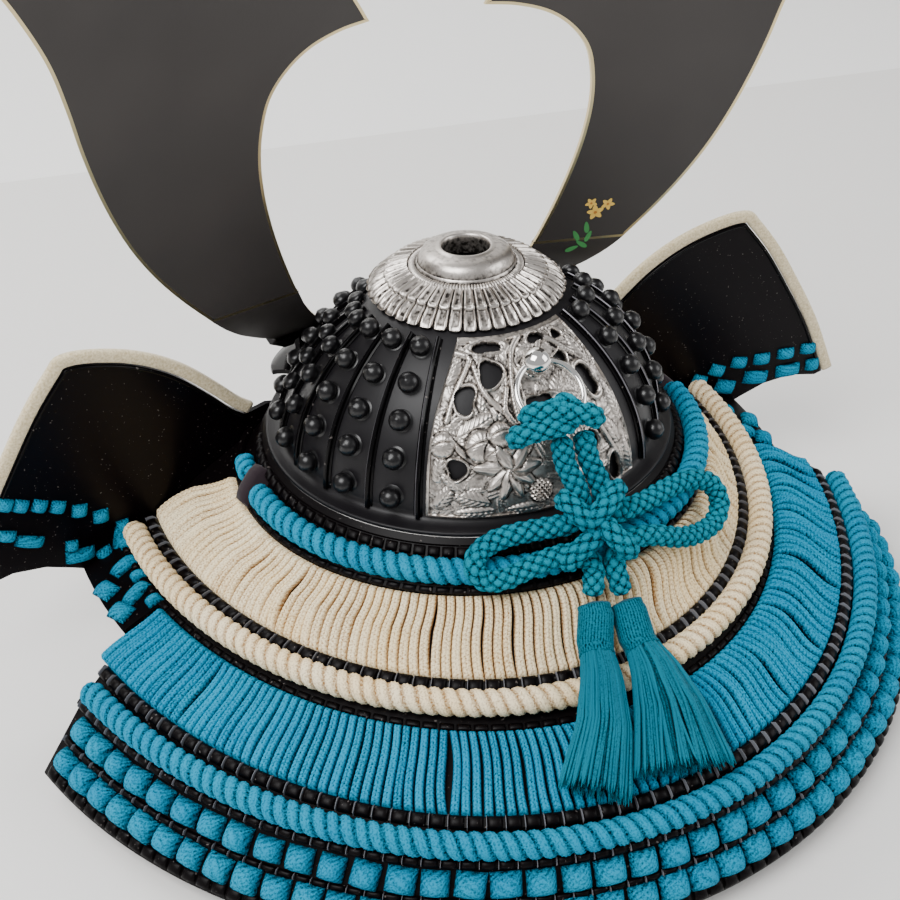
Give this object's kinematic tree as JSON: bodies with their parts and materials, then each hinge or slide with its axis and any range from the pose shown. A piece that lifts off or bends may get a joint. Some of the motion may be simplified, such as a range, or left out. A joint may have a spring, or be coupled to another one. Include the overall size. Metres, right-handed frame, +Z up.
{
  "type": "ornamental samurai helmet",
  "caption": "Small ornamental samurai helmet with a ribbed and studded bowl, laced neck guard, turned-back wings, tall flat horns and a tied cord with tassels at the back.",
  "frame": {"origin": "centre of the bowl's rim, where the helmet sits on a head", "axes": "+Z up through the hole in the crown, -Y towards the front, +X towards the wearer's left"},
  "size_m": [0.3148, 0.226, 0.2761],
  "materials": {
    "bowl_black": "satin black paint",
    "black_lacquer": "glossy black lacquer",
    "horn_black": "matte dark grey with a pale gold edge",
    "cast_silver": "antique silver casting",
    "polished_silver": "polished",
    "teal_lacing": "braided flat cord",
    "cream_lacing": "braided flat cord",
    "teal_cord": "round braided cord and tassels",
    "cream_leather": "undyed suede edging"
  },
  "bodies": {
    "root": {"bowl": "bowl_black", "crown_fitting": "cast_silver", "pierced_plate": "cast_silver", "ring_stud": "polished_silver", "cord_ring": "polished_silver", "neck_plate_upper": "black_lacquer", "neck_plate_lower": "black_lacquer", "rope_top": "teal_lacing", "lacing_cream": "cream_lacing", "rope_cream": "cream_lacing", "lacing_teal": "teal_lacing", "rope_teal": "teal_lacing", "knots_upper": "teal_lacing", "knots_lower": "teal_lacing", "visor": "black_lacquer", "horn_holder": "black_lacquer", "horn_left": "horn_black", "horn_right": "horn_black", "wing_left": "black_lacquer", "wing_right": "black_lacquer", "wing_edging_left": "cream_leather", "wing_edging_right": "cream_leather", "cord_left": "teal_cord", "cord_right": "teal_cord", "cord_hitch": "teal_cord", "bow_knot": "teal_cord", "tassel_left": "teal_cord", "tassel_right": "teal_cord"}
  },
  "joints": []
}
